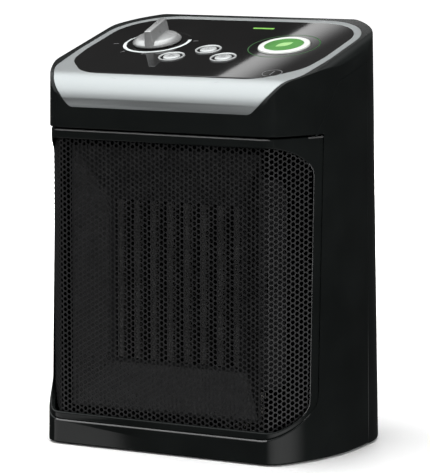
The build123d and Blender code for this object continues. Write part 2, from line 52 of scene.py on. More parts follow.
view_turn = radians(28)
view_dip = radians(7.58)
camera = bpy.data.objects.new("camera", bpy.data.cameras.new("camera"))
bpy.context.scene.collection.objects.link(camera)
camera.data.sensor_width = 36
camera.data.lens = 215.07
camera.location = (0.8541, -1.6065, 0.3725)
camera.rotation_euler = (pi / 2 - view_dip, 0, view_turn)
bpy.context.scene.camera = camera
bpy.context.scene.view_settings.view_transform = "Standard"


def clear():
    """Leaves nothing selected, so that the next operator acts only on what is picked after it."""
    if bpy.context.mode != "OBJECT":
        bpy.ops.object.mode_set(mode="OBJECT")
    bpy.ops.object.select_all(action="DESELECT")


def pick(piece, kind, test):
    """Goes into edit mode on a piece and selects its VERT, EDGE or FACE elements that pass the test."""
    if bpy.context.mode != "EDIT_MESH":
        clear()
        piece.select_set(True)
        bpy.context.view_layer.objects.active = piece
        bpy.ops.object.mode_set(mode="EDIT")
    bpy.ops.mesh.select_mode(type=kind)
    bpy.ops.mesh.select_all(action="DESELECT")
    mesh = bmesh.from_edit_mesh(piece.data)
    for element in {"VERT": mesh.verts, "EDGE": mesh.edges, "FACE": mesh.faces}[kind]:
        if test(element):
            element.select_set(True)
    mesh.select_flush_mode()
    bmesh.update_edit_mesh(piece.data)


def ramp(tree, source, low, high, at_low, at_high):
    """A smooth change from one value to another while the source goes from low to high."""
    change = tree.nodes.new("ShaderNodeMapRange")
    change.interpolation_type = "SMOOTHERSTEP"
    change.inputs["From Min"].default_value = low
    change.inputs["From Max"].default_value = high
    change.inputs["To Min"].default_value = at_low
    change.inputs["To Max"].default_value = at_high
    tree.links.new(source, change.inputs["Value"])
    return change.outputs["Result"]


pale_floor = bpy.data.materials.new("pale_floor")
pale_floor.use_nodes = True
tree = pale_floor.node_tree
surface = tree.nodes["Principled BSDF"]
surface.inputs["Base Color"].default_value = (0.93, 0.93, 0.93, 1)
surface.inputs["Roughness"].default_value = 0.9
surface.inputs["Specular IOR Level"].default_value = 0.0
surface.inputs["Emission Color"].default_value = (1, 1, 1, 1)
place = tree.nodes.new("ShaderNodeTexCoord")
reach = tree.nodes.new("ShaderNodeVectorMath")
reach.operation = "LENGTH"
tree.links.new(place.outputs["Object"], reach.inputs[0])
tree.links.new(ramp(tree, reach.outputs["Value"], 0.16, 1.0, 0.0, 1.0), surface.inputs["Emission Strength"])

clear()
bpy.ops.mesh.primitive_circle_add(vertices=96, radius=3.0, fill_type="NGON")
floor = bpy.context.active_object
floor.name = "studio_floor"
bpy.ops.object.mode_set(mode="EDIT")
wall_steps = ((1.2, 0.1), (1.14, 0.35), (1.07, 0.55), (1.02, 0.8), (1.0, 1.7))
for spread, rise in wall_steps:
    bpy.ops.mesh.extrude_region_move(TRANSFORM_OT_translate={"value": (0, 0, rise)})
    bpy.ops.transform.resize(value=(spread, spread, 1))
bpy.ops.object.mode_set(mode="OBJECT")
pick(floor, "FACE", lambda face: True)
bpy.ops.mesh.normals_make_consistent(inside=True)
clear()
floor.visible_glossy = False
floor.visible_diffuse = False
floor.data.materials.append(pale_floor)


def soft_light(name, place, aim, width, height, power):
    """A rectangular light at a place, turned to face a point, and not seen by the camera."""
    light = bpy.data.objects.new(name, bpy.data.lights.new(name, "AREA"))
    bpy.context.scene.collection.objects.link(light)
    light.data.shape = "RECTANGLE"
    light.data.size = width
    light.data.size_y = height
    light.data.energy = power
    light.location = place
    light.rotation_euler = (Vector(aim) - Vector(place)).to_track_quat("-Z", "Y").to_euler()
    light.visible_camera = False
    light.visible_glossy = False
    return light


heater_middle = (0, 0, 0.12)
soft_light("overhead", (-0.25, -0.25, 1.9), (0, 0, 0), 1.9, 1.7, 56)
soft_light("front_fill", (1.5, -1.3, 0.4), heater_middle, 0.8, 0.8, 30)
soft_light("rear_fill", (-0.5, 1.9, 0.6), heater_middle, 0.9, 0.9, 34)
soft_light("left_fill", (-1.9, -0.2, 0.5), heater_middle, 0.8, 0.8, 16)


def glow_card(name, edge, aim, width, height, tilt=0.0):
    """A card that shows only in reflections, placed by its lower edge and facing back along its aim."""
    across = aim.cross(Vector((0, 0, 1))).normalized()
    turn = Matrix((across, across.cross(aim), -aim)).transposed().to_4x4()
    clear()
    bpy.ops.mesh.primitive_plane_add(size=1)
    card = bpy.context.active_object
    card.name = name
    size = Matrix.Diagonal((width, height, 1, 1)) @ Matrix.Translation((0, 0.5, 0))
    card.matrix_world = Matrix.Translation(edge) @ turn @ Matrix.Rotation(tilt, 4, "Z") @ size
    card.visible_camera = False
    card.visible_diffuse = False
    card.visible_shadow = False
    light = bpy.data.materials.new(name + "_light")
    light.use_nodes = True
    tree = light.node_tree
    tree.nodes.clear()
    place = tree.nodes.new("ShaderNodeTexCoord")
    split = tree.nodes.new("ShaderNodeSeparateXYZ")
    glow = tree.nodes.new("ShaderNodeEmission")
    out = tree.nodes.new("ShaderNodeOutputMaterial")
    tree.links.new(place.outputs["Object"], split.inputs["Vector"])
    tree.links.new(glow.outputs["Emission"], out.inputs["Surface"])
    card.data.materials.append(light)
    return tree, split, glow


def product(tree, *values):
    """The values multiplied together."""
    result = values[0]
    for value in values[1:]:
        times = tree.nodes.new("ShaderNodeMath")
        times.operation = "MULTIPLY"
        tree.links.new(result, times.inputs[0])
        tree.links.new(value, times.inputs[1])
        result = times.outputs[0]
    return result


# One card stands where the panel mirrors it, its lower edge slanting across the panel's right half.
panel_middle = Vector((0, 0, 0.26))
card_distance, card_aside, card_drop = 1.2, 0.016, 0.0496
card_slant = atan2(-29.2, 109.4)
card_aim = Vector((-0.4654, 0.7108, 0.5273)).normalized()
card_across = card_aim.cross(Vector((0, 0, 1))).normalized()
card_up = card_across.cross(card_aim)
card_edge = panel_middle + card_aim * card_distance + card_across * card_aside - card_up * card_drop
tree, split, glow = glow_card("panel_card", card_edge, card_aim, 0.9, 0.16, card_slant)
tree.links.new(ramp(tree, split.outputs["Y"], -0.5, -0.3, 2.1, 0.12), glow.inputs["Strength"])

# Two low cards show only in the rounded corners of the base and fade out upwards.
# Each row: name, lower edge, bearing in degrees, width, height, where it fades in and out, strength.
low_cards = (
    ("right_low_card", (0.766, -0.643, -0.4), 50, 3.0, 0.34, (-0.46, -0.2), (0.45, -0.08), (0.36, 0.46), 1.8),
    ("left_low_card", (-0.53, -0.376, -0.25), 0, 0.6, 0.2, (-0.5, -0.46), (0.6, 0.5), (0.5, 0.6), 1.4),
)
for name, edge, bearing, width, height, start, end, top, strength in low_cards:
    aim = Vector((sin(radians(bearing)), -cos(radians(bearing)), 0))
    tree, split, glow = glow_card(name, Vector(edge), aim, width, height)
    tree.links.new(product(
        tree,
        ramp(tree, split.outputs["X"], *start, 0.0, strength),
        ramp(tree, split.outputs["X"], *reversed(end), 1.0, 0.0),
        ramp(tree, split.outputs["Y"], *top, 1.0, 0.0),
    ), glow.inputs["Strength"])

# The sky is dark but for a broad soft glow high up at the left, which the silver band picks up.
world = bpy.data.worlds.new("studio")
bpy.context.scene.world = world
world.use_nodes = True
world.cycles_visibility.diffuse = False
tree = world.node_tree
tree.nodes["Background"].inputs["Color"].default_value = (0.97, 1.0, 1.0, 1)
place = tree.nodes.new("ShaderNodeTexCoord")
towards = tree.nodes.new("ShaderNodeVectorMath")
towards.operation = "DOT_PRODUCT"
glow_towards = Vector((-0.35, -0.15, 0.92)).normalized()
towards.inputs[1].default_value = glow_towards
tree.links.new(place.outputs["Generated"], towards.inputs[0])
sky_strength = ramp(tree, towards.outputs["Value"], 0.42, 0.95, 0.03, 1.5)
tree.links.new(sky_strength, tree.nodes["Background"].inputs["Strength"])
clear()

# Base -----------------------------------------------------------------------------------------
# Flat plate moulded in heat-resistant plastic, screwed into the front shell from below. It stands on
# four moulded rubber feet and carries the tip-over switch, its plunger and the nylon terminal block.


def finish(name, colour, roughness, metallic=0.0, grain=900, relief=0.00001, cloud=60, mottle=0.15,
           stretch=(1, 1, 1), specular=0.5, coat=0.0):
    """A finish in one colour, with fine grain in relief and cloudy changes of shade and gloss."""
    material = bpy.data.materials.new(name)
    material.use_nodes = True
    tree = material.node_tree
    surface = tree.nodes["Principled BSDF"]
    surface.inputs["Metallic"].default_value = metallic
    surface.inputs["Specular IOR Level"].default_value = specular
    surface.inputs["Coat Weight"].default_value = coat
    place = tree.nodes.new("ShaderNodeTexCoord")
    turn = tree.nodes.new("ShaderNodeMapping")
    turn.inputs["Scale"].default_value = stretch
    fine = tree.nodes.new("ShaderNodeTexNoise")
    fine.inputs["Scale"].default_value = grain
    fine.inputs["Detail"].default_value = 3
    broad = tree.nodes.new("ShaderNodeTexNoise")
    broad.inputs["Scale"].default_value = cloud
    broad.inputs["Detail"].default_value = 4
    shades = tree.nodes.new("ShaderNodeValToRGB")
    shades.color_ramp.elements[0].position = 0.3
    shades.color_ramp.elements[0].color = (*(c * (1 - mottle) for c in colour), 1)
    shades.color_ramp.elements[1].position = 0.7
    shades.color_ramp.elements[1].color = (*(c * (1 + mottle) for c in colour), 1)
    gloss = tree.nodes.new("ShaderNodeMapRange")
    gloss.inputs["To Min"].default_value = roughness * 0.8
    gloss.inputs["To Max"].default_value = roughness * 1.2
    bump = tree.nodes.new("ShaderNodeBump")
    bump.inputs["Distance"].default_value = relief
    tree.links.new(place.outputs["Object"], turn.inputs["Vector"])
    tree.links.new(turn.outputs["Vector"], fine.inputs["Vector"])
    tree.links.new(turn.outputs["Vector"], broad.inputs["Vector"])
    tree.links.new(broad.outputs["Fac"], shades.inputs["Fac"])
    tree.links.new(shades.outputs["Color"], surface.inputs["Base Color"])
    tree.links.new(broad.outputs["Fac"], gloss.inputs["Value"])
    tree.links.new(gloss.outputs["Result"], surface.inputs["Roughness"])
    tree.links.new(fine.outputs["Fac"], bump.inputs["Height"])
    tree.links.new(bump.outputs["Normal"], surface.inputs["Normal"])
    return material


def dress(material, *names):
    """Gives CAD pieces that already have their right shape a finish."""
    for name in names:
        for holder in nodes[name].material_slots:
            holder.material = material


dark_moulding = finish("heat_resistant_moulding", (0.022, 0.022, 0.023), 0.5, grain=1600, relief=0.00002)
foot_rubber = finish("foot_rubber", (0.03, 0.03, 0.031), 0.75, grain=2600, relief=0.00003, mottle=0.3)
plated_steel = finish("plated_steel", (0.55, 0.56, 0.58), 0.3, metallic=1, grain=700, cloud=350, mottle=0.2)
natural_nylon = finish("natural_nylon", (0.72, 0.70, 0.64), 0.45, grain=1200, relief=0.00002, mottle=0.06)
dress(dark_moulding, "base_plate", "tip_plunger")
dress(foot_rubber, "rubber_feet")
dress(plated_steel, "base_screws")
dress(natural_nylon, "terminal_block", "tip_switch")

# Fan and motor --------------------------------------------------------------------------------
# An axial impeller on a shaded-pole motor: stacked steel core, taped coil, two pressed bearing brackets
# and long screws. The motor hangs on the three arms of the moulded shroud.


def banded(material, direction, scale, relief, shade=0.6):
    """Adds straight bands across a finish, as on stacked sheets or wound wire."""
    tree = material.node_tree
    surface = tree.nodes["Principled BSDF"]
    place = tree.nodes["Texture Coordinate"]
    bands = tree.nodes.new("ShaderNodeTexWave")
    bands.bands_direction = direction
    bands.inputs["Scale"].default_value = scale
    bands.inputs["Distortion"].default_value = 0.4
    darker = tree.nodes.new("ShaderNodeMix")
    darker.data_type = "RGBA"
    darker.blend_type = "MULTIPLY"
    darker.inputs["Factor"].default_value = shade
    bump = tree.nodes.new("ShaderNodeBump")
    bump.inputs["Distance"].default_value = relief
    tree.links.new(place.outputs["Object"], bands.inputs["Vector"])
    tree.links.new(tree.nodes["Color Ramp"].outputs["Color"], darker.inputs["A"])
    tree.links.new(bands.outputs["Color"], darker.inputs["B"])
    tree.links.new(darker.outputs["Result"], surface.inputs["Base Color"])
    tree.links.new(bands.outputs["Fac"], bump.inputs["Height"])
    tree.links.new(tree.nodes["Bump"].outputs["Normal"], bump.inputs["Normal"])
    tree.links.new(bump.outputs["Normal"], surface.inputs["Normal"])
    return material


core_sheets = banded(finish("stacked_core_sheets", (0.2, 0.2, 0.21), 0.45, metallic=0.9), "Y", 320, 0.0002)
coil_winding = banded(finish("varnished_winding", (0.42, 0.12, 0.05), 0.35, coat=0.4), "X", 420, 0.0001, 0.5)
turned_steel = banded(finish("turned_steel", (0.6, 0.6, 0.61), 0.22, metallic=1), "Y", 900, 0.00001, 0.15)
dress(dark_moulding, "fan_impeller", "fan_shroud")
dress(core_sheets, "motor_core", "motor_rotor")
dress(coil_winding, "motor_coil")
dress(turned_steel, "motor_shaft")
dress(plated_steel, "motor_brackets", "motor_screws")

# Heating element ------------------------------------------------------------------------------
# Eight flat aluminium tubes that hold the ceramic stones, with a folded aluminium strip glued between
# each pair. A moulded frame holds them, with tabs for the leads and a thermal cut-out on a bracket above.

element_aluminium = finish("element_aluminium", (0.2, 0.195, 0.19), 0.42, metallic=0.75, grain=1500,
                           mottle=0.3)
fold_step = 0.0009
strip_thickness = 0.00016


def folded_strip(name, left, right, low, high, front, back):
    """A strip folded to and fro between two bars, all the way up."""
    middle = ((left + right) / 2, (front + back) / 2, low)
    clear()
    bpy.ops.mesh.primitive_plane_add(size=1, location=middle)
    strip = bpy.context.active_object
    strip.name = name
    bpy.ops.object.transform_apply(location=True, rotation=True, scale=True)
    bpy.ops.object.mode_set(mode="EDIT")
    bpy.ops.transform.resize(value=(0, back - front, 1), center_override=middle)
    bpy.ops.mesh.select_all(action="SELECT")
    bpy.ops.mesh.remove_doubles(threshold=0.0001)
    bpy.ops.mesh.select_mode(type="EDGE")
    bpy.ops.mesh.select_all(action="SELECT")
    bpy.ops.transform.translate(value=(left - middle[0], 0, 0))
    for fold in range(int((high - low) / fold_step)):
        shift = (right - left) if fold % 2 == 0 else (left - right)
        bpy.ops.mesh.extrude_region_move(TRANSFORM_OT_translate={"value": (shift, 0, fold_step)})
    bpy.ops.object.mode_set(mode="OBJECT")
    sheet = strip.modifiers.new("sheet", "SOLIDIFY")
    sheet.thickness = strip_thickness
    sheet.offset = 0
    bpy.ops.object.modifier_apply(modifier="sheet")
    pick(strip, "FACE", lambda face: True)
    bpy.ops.mesh.normals_make_consistent(inside=False)
    clear()
    return strip


bar_pitch = 0.012
pack_half = 0.00355
pack_count = 7
first_middle = -(pack_count - 1) / 2 * bar_pitch
fins_low, fins_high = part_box("fin_packs")
first_strip = folded_strip(
    "fin_strip_1", first_middle - pack_half, first_middle + pack_half,
    fins_low.z, fins_high.z, fins_low.y, fins_high.y,
)
for number in range(pack_count):
    strip = first_strip
    if number > 0:
        strip = first_strip.copy()
        strip.data = first_strip.data.copy()
        strip.name = f"fin_strip_{number + 1}"
        strip.parent = None
        bpy.context.scene.collection.objects.link(strip)
        strip.data.transform(Matrix.Translation((number * bar_pitch, 0, 0)))
    strip.data.materials.clear()
    strip.data.materials.append(element_aluminium)
    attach(strip, "housing")
    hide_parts("fin_packs")

tube_aluminium = finish("tube_aluminium", (0.26, 0.255, 0.25), 0.36, metallic=0.8, grain=1800, mottle=0.2)
tab_brass = finish("tinned_brass", (0.72, 0.6, 0.36), 0.3, metallic=1, grain=900, mottle=0.2)
duct_plastic = finish("duct_plastic", (0.034, 0.034, 0.035), 0.42, grain=1500, relief=0.00003)
dress(tube_aluminium, "ceramic_bars")
dress(dark_moulding, "element_frame")
dress(tab_brass, "element_terminals")
dress(plated_steel, "thermal_cutout", "cutout_bracket")
dress(duct_plastic, "heat_duct")

# Housing shells -------------------------------------------------------------------------------
# Front shell, rear cover and head cover are injection-moulded ABS with a high polish. They meet in
# narrow seams whose edges are eased, and the recessed frame round the outlet is clipped in from behind.


def eased_copy(node, ease, segments=3, painted_highlight_mask=None):
    """A moulding in its CAD shape with its sharp edges eased and, where told, its eased edges painted lighter
    as a highlight line.
    """
    clear()
    original = nodes[node]
    original.select_set(True)
    bpy.context.view_layer.objects.active = original
    bpy.ops.object.duplicate()
    piece = bpy.context.active_object
    piece.name = node + "_moulding"
    piece.parent = None
    for key in list(piece.keys()):
        del piece[key]
    piece.data.materials.clear()
    piece.data.materials.append(None)
    piece.data.materials.append(None)
    pick(piece, "VERT", lambda vert: True)
    bpy.ops.mesh.remove_doubles(threshold=0.0001)
    bpy.ops.mesh.customdata_custom_splitnormals_clear()
    bpy.ops.mesh.dissolve_limited(angle_limit=radians(1))
    bpy.ops.object.mode_set(mode="OBJECT")
    edge = piece.modifiers.new("edge", "BEVEL")
    edge.limit_method = "ANGLE"
    edge.angle_limit = radians(35)
    edge.width = ease
    edge.segments = segments
    edge.use_clamp_overlap = False
    edge.material = 1
    bpy.ops.object.modifier_apply(modifier="edge")
    bpy.ops.object.shade_smooth_by_angle(angle=radians(50))
    skin = piece.vertex_groups.new(name="skin")
    kept = {vert for face in piece.data.polygons if face.material_index == 0 for vert in face.vertices}
    skin.add(sorted(kept), 1.0, "REPLACE")
    normals = piece.modifiers.new("normals", "DATA_TRANSFER")
    normals.object = original
    normals.use_loop_data = True
    normals.data_types_loops = {"CUSTOM_NORMAL"}
    normals.loop_mapping = "POLYINTERP_NEAREST"
    normals.vertex_group = "skin"
    bpy.ops.object.modifier_apply(modifier="normals")
    piece.vertex_groups.clear()
    # Eased faces inside the told edges keep the lighter finish of the painted highlight; all others go back
    # to the main finish.
    for face in piece.data.polygons:
        if painted_highlight_mask is None or not painted_highlight_mask(face.center):
            face.material_index = 0
    if painted_highlight_mask is None:
        piece.data.materials.pop()
    else:
        piece.data.materials[1] = painted_highlight_edge
    return piece


def fit(piece, material, slot, body, *stands_for):
    """Finishes a piece: its material, the body it moves with and the CAD pieces that it stands for."""
    if len(piece.data.materials) == 0:
        piece.data.materials.append(material)
    else:
        piece.data.materials[0] = material
    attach(piece, body)
    if stands_for:
        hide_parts(*stands_for)
    clear()
    return piece


# A lighter grey on a few eased edges: painted highlight lines where those edges would catch the light.
painted_highlight_edge = finish("painted_highlight_edge", (0.11, 0.11, 0.11), 0.22, grain=420, relief=0.000002, specular=0.9)
polished_black = finish("polished_black_plastic", (0.0092, 0.0106, 0.0103), 0.11, grain=420, relief=0.000002,
                        cloud=25, mottle=0.2, specular=0.24)
lip_top, frame_top = 0.0162, 0.2036
edge_reach = 0.0012
lip_face, lip_half = -0.0742, 0.076
frame_face, frame_side = -0.0735, 0.0915


def on_lip(place):
    """True on the upper edge of the lip under the outlet, where a highlight line is painted."""
    return abs(place.z - lip_top) < edge_reach and place.y < lip_face and abs(place.x) < lip_half


def on_frame_edge(place):
    """True on the frame's upper front edge and along its right side, where highlight lines are painted."""
    return (place.z > frame_top - edge_reach and place.y < frame_face) or place.x > frame_side


# The third column says where each moulding's eased edges are painted lighter as a highlight.
for shell, ease, painted_highlight_mask in (
    ("front_shell", 0.0009, on_lip),
    ("rear_cover", 0.0005, None),
    ("head_cover", 0.0005, None),
    ("front_frame", 0.001, on_frame_edge),
):
    fit(eased_copy(shell, ease, painted_highlight_mask=painted_highlight_mask), polished_black, "body_black", "housing", shell)

mesh_nylon = finish("filter_nylon", (0.035, 0.035, 0.036), 0.7, grain=2000)
banded(mesh_nylon, "X", 700, 0.0003, 0.6)
dress(mesh_nylon, "dust_filter")
dress(foot_rubber, "cord_gland")
dress(plated_steel, "rear_screws")

# Outlet grille --------------------------------------------------------------------------------
# Sheet steel punched with round holes in staggered rows, enamelled black and bent back at both sides.
# It is made in three lengths: the flat front and the two bent sides.

hole_pitch = 0.0034
hole_radius = 0.00140
column_pitch = hole_pitch * sqrt(3) / 2
sheet_thickness = 0.0007
bend_radius = 0.008
front_y = -0.076
flat_depth = 0.0044
corner_x, corner_depth = 0.074, flat_depth
end_x, end_depth = 0.0926, 0.0283
bend_turn = atan2(end_depth - corner_depth, end_x - corner_x)
bend_lead = bend_radius * tan(bend_turn / 2)
flat_half = corner_x - bend_lead
side_length = hypot(end_x - corner_x, end_depth - corner_depth) - bend_lead
sheet_half = flat_half + bend_radius * bend_turn + side_length
grille_low, grille_high = 0.0192, 0.1992


def along_sheet(distance):
    """Where a point of the flat sheet goes when its sides are bent back."""
    run = abs(distance)
    if run <= flat_half:
        x, depth = run, 0.0
    elif run <= flat_half + bend_radius * bend_turn:
        turn = (run - flat_half) / bend_radius
        x = flat_half + bend_radius * sin(turn)
        depth = bend_radius * (1 - cos(turn))
    else:
        rest = run - flat_half - bend_radius * bend_turn
        x = flat_half + bend_radius * sin(bend_turn) + rest * cos(bend_turn)
        depth = bend_radius * (1 - cos(bend_turn)) + rest * sin(bend_turn)
    return (x if distance >= 0 else -x), front_y + flat_depth + depth


clear()
hex_radius = hole_pitch / sqrt(3)
bpy.ops.mesh.primitive_circle_add(vertices=12, radius=hole_radius, fill_type="NOTHING")
sheet = bpy.context.active_object
sheet.name = "outlet_grille_front"
bpy.ops.object.mode_set(mode="EDIT")
bpy.ops.mesh.primitive_circle_add(
    vertices=6, radius=hex_radius, rotation=(0, 0, radians(30)), fill_type="NOTHING",
)
bpy.ops.mesh.select_all(action="SELECT")
bpy.ops.mesh.bridge_edge_loops()
bpy.ops.mesh.duplicate_move(TRANSFORM_OT_translate={"value": (column_pitch, hole_pitch / 2, 0)})
bpy.ops.object.mode_set(mode="OBJECT")
columns = 2 * ceil(sheet_half / (2 * column_pitch)) + 1
rows = ceil((grille_high - grille_low) / hole_pitch) + 1
for axis, step, count in ((0, 2 * column_pitch, columns), (1, hole_pitch, rows)):
    repeat = sheet.modifiers.new("repeat", "ARRAY")
    repeat.use_relative_offset = False
    repeat.use_constant_offset = True
    repeat.constant_offset_displace = (step if axis == 0 else 0, step if axis == 1 else 0, 0)
    repeat.count = count
    bpy.ops.object.modifier_apply(modifier="repeat")
sheet.data.transform(Matrix.Translation((-(columns // 2) * 2 * column_pitch, grille_low, 0)))
pick(sheet, "VERT", lambda vert: True)
bpy.ops.mesh.remove_doubles(threshold=0.00002)
pick(sheet, "FACE", lambda face: abs(face.calc_center_median().x) > sheet_half)
bpy.ops.mesh.delete(type="FACE")
window_corner = 0.018
window_half = 0.0932
window_top, window_bottom = 0.1995, 0.0190


def outside_corner(face):
    """True where a face lies past the rounded corner of the window, seen on the flat sheet."""
    centre = face.calc_center_median()
    reach = along_sheet(centre.x)[0]
    across = abs(reach) - (window_half - window_corner)
    above = centre.y - (window_top - window_corner)
    below = (window_bottom + window_corner) - centre.y
    return across > 0 and hypot(across, max(above, below, 0)) > window_corner


pick(sheet, "FACE", outside_corner)
bpy.ops.mesh.delete(type="FACE")
lengths = [sheet]
for side, sign in (("left", -1), ("right", 1)):
    pick(sheet, "FACE", lambda face: sign * face.calc_center_median().x > flat_half)
    bpy.ops.mesh.separate(type="SELECTED")
    bpy.ops.object.mode_set(mode="OBJECT")
    part = [o for o in bpy.context.selected_objects if o != sheet][0]
    part.name = f"outlet_grille_{side}"
    lengths.append(part)
grille_enamel = finish("grille_enamel", (0.020, 0.020, 0.0205), 0.42, grain=2600, relief=0.000008, cloud=120,
                       mottle=0.2, specular=0.6)
for part in lengths:
    for vert in part.data.vertices:
        x, y = along_sheet(vert.co.x)
        vert.co = (x, y, vert.co.y)
    clear()
    part.select_set(True)
    bpy.context.view_layer.objects.active = part
    thick = part.modifiers.new("thick", "SOLIDIFY")
    thick.thickness = sheet_thickness
    thick.offset = 0
    bpy.ops.object.modifier_apply(modifier="thick")
    pick(part, "FACE", lambda face: True)
    bpy.ops.mesh.normals_make_consistent(inside=False)
    clear()
    fit(part, grille_enamel, "grille_black", "housing", "front_grille")

# Control head ---------------------------------------------------------------------------------
# A satin silver band rolls over the front edge and runs round the polished black panel, which is a
# flat plate glued into it. The scale, the ticks and the small marks are printed on the panel.

silver_lacquer = finish("satin_silver_lacquer", (0.51, 0.535, 0.54), 0.34, metallic=0.68, grain=5200,
                        relief=0.000004, cloud=3800, mottle=0.05)
panel_gloss = finish("polished_panel", (0.0062, 0.0058, 0.0058), 0.025, grain=260, relief=0.000001,
                     cloud=18, mottle=0.2, specular=0.22)
fit(eased_copy("silver_trim", 0.0003), silver_lacquer, "trim_silver", "housing", "silver_trim")
fit(eased_copy("control_panel", 0.00015), panel_gloss, "panel_black", "housing", "control_panel")

panel_tilt = radians(14)
panel_front_z = 0.23584
panel_frame = Matrix.Translation((0, front_y, panel_front_z)) @ Matrix.Rotation(panel_tilt, 4, "X")


def seat(piece, x, s, lift=0.0, turn=0.0):
    """Moves a piece made flat at the origin to its place on the panel, s up the slope."""
    piece.data.transform(panel_frame @ Matrix.Translation((x, s, lift)) @ Matrix.Rotation(turn, 4, "Z"))
    piece.matrix_world = Matrix.Identity(4)
    return piece


def turned(name, profile, steps=64):
    """A closed round piece: a point drawn along a profile of (radius, height), then spun about the axis."""
    clear()
    bpy.ops.mesh.primitive_plane_add(size=0.001)
    piece = bpy.context.active_object
    piece.name = name
    bpy.ops.object.mode_set(mode="EDIT")
    bpy.ops.mesh.select_mode(type="VERT")
    bpy.ops.mesh.select_all(action="SELECT")
    bpy.ops.mesh.merge(type="CENTER")
    bpy.ops.transform.translate(value=(profile[0][0], 0, profile[0][1]))
    for (radius, height), (next_radius, next_height) in zip(profile, profile[1:]):
        step = (next_radius - radius, 0, next_height - height)
        bpy.ops.mesh.extrude_region_move(TRANSFORM_OT_translate={"value": step})
    bpy.ops.mesh.select_all(action="SELECT")
    bpy.ops.mesh.spin(steps=steps, angle=2 * pi, center=(0, 0, 0), axis=(0, 0, 1))
    bpy.ops.mesh.select_all(action="SELECT")
    bpy.ops.mesh.remove_doubles(threshold=0.000002)
    bpy.ops.mesh.normals_make_consistent(inside=False)
    bpy.ops.object.mode_set(mode="OBJECT")
    bpy.ops.object.shade_smooth_by_angle(angle=radians(35))
    return piece


print_thickness = 0.00008


def printed(name, outline):
    """A thin raised print: a flat disc whose rim is set to the outline, drawn up to the print's thickness."""
    clear()
    bpy.ops.mesh.primitive_circle_add(vertices=len(outline), radius=0.001, fill_type="NGON")
    piece = bpy.context.active_object
    piece.name = name
    for vert, (x, y) in zip(piece.data.vertices, outline):
        vert.co = (x, y, 0)
    bpy.ops.object.mode_set(mode="EDIT")
    bpy.ops.mesh.select_all(action="SELECT")
    bpy.ops.mesh.extrude_region_move(TRANSFORM_OT_translate={"value": (0, 0, print_thickness)})
    bpy.ops.mesh.select_all(action="SELECT")
    bpy.ops.mesh.normals_make_consistent(inside=False)
    bpy.ops.object.mode_set(mode="OBJECT")
    return piece


def arc_band(inner, outer, start, end, steps=48, start_width=1.0):
    """Outline of a curved band between two radii, narrower at its start where start_width is below 1."""
    angles = [start + (end - start) * step / steps for step in range(steps + 1)]
    share = [min(1.0, start_width + (1 - start_width) * step / (steps * 0.2)) for step in range(steps + 1)]
    outside = [(outer * cos(a), outer * sin(a)) for a in angles]
    reaches = [outer - (outer - inner) * w for w in share]
    inside = [(reach * cos(a), reach * sin(a)) for a, reach in zip(angles, reaches)]
    return outside + inside[::-1]


def bar(length, width, angle=0.0, x=0.0, y=0.0):
    """Outline of a straight bar with its middle at a point."""
    signs = ((-1, -1), (1, -1), (1, 1), (-1, 1))
    corners = [(a * length / 2, b * width / 2) for a, b in signs]
    return [(x + a * cos(angle) - b * sin(angle), y + a * sin(angle) + b * cos(angle)) for a, b in corners]


def joined(name, pieces):
    """One piece from several."""
    clear()
    for piece in pieces:
        piece.select_set(True)
    bpy.context.view_layer.objects.active = pieces[0]
    bpy.ops.object.join()
    pieces[0].name = name
    return pieces[0]


scale_print = finish("scale_print", (0.66, 0.70, 0.70), 0.35, grain=3000, mottle=0.05)
faint_print = finish("faint_print", (0.16, 0.16, 0.165), 0.4, grain=3000, mottle=0.1)
green_print = finish("green_print", (0.20, 0.5, 0.08), 0.4, grain=3000, mottle=0.08)
halo_print = finish("halo_print", (0.02, 0.10, 0.02), 0.4, grain=3000, mottle=0.1)
knob_x, knob_s = -0.0433, 0.0799
scale_outer, scale_inner = 0.0226, 0.0204
arc = printed("dial_scale_print", arc_band(scale_inner, scale_outer, radians(155), radians(380.6), 72, 0.3))
seat(arc, knob_x, knob_s)
fit(arc, scale_print, "scale_white", "housing", "dial_scale")
tick_length, tick_width = 0.0035, 0.0006
tick_places = ((192, 0.0283), (238, 0.0262), (275, 0.0246), (11, 0.0262))
ticks = []
for bearing, reach in tick_places:
    angle = radians(bearing)
    ticks.append(printed("tick", bar(tick_length, tick_width, angle, reach * cos(angle), reach * sin(angle))))
ticks = joined("dial_tick_prints", ticks)
seat(ticks, knob_x, knob_s)
fit(ticks, faint_print, "scale_white", "housing")

ring_inner, ring_outer = 0.0060, 0.0065
symbol = joined("round_symbol_print", [
    printed("ring", arc_band(ring_inner, ring_outer, 0, radians(180), 24)),
    printed("ring", arc_band(ring_inner, ring_outer, radians(180), radians(360), 24)),
    printed("bar", bar(0.0075, 0.0006, radians(90))),
])
seat(symbol, 0.0665, 0.0266)
fit(symbol, faint_print, "scale_white", "housing")
accent = printed("accent_bar_print", bar(0.0150, 0.0024))
seat(accent, 0.0165, 0.116)
fit(accent, green_print, "eco_green", "housing")
dress(halo_print, "eco_halo")

# Push buttons ---------------------------------------------------------------------------------
# Three domed caps in silver lacquer, each in a ring bezel pressed into the panel, over tact switches on
# the control board. Each cap carries a small raised symbol.

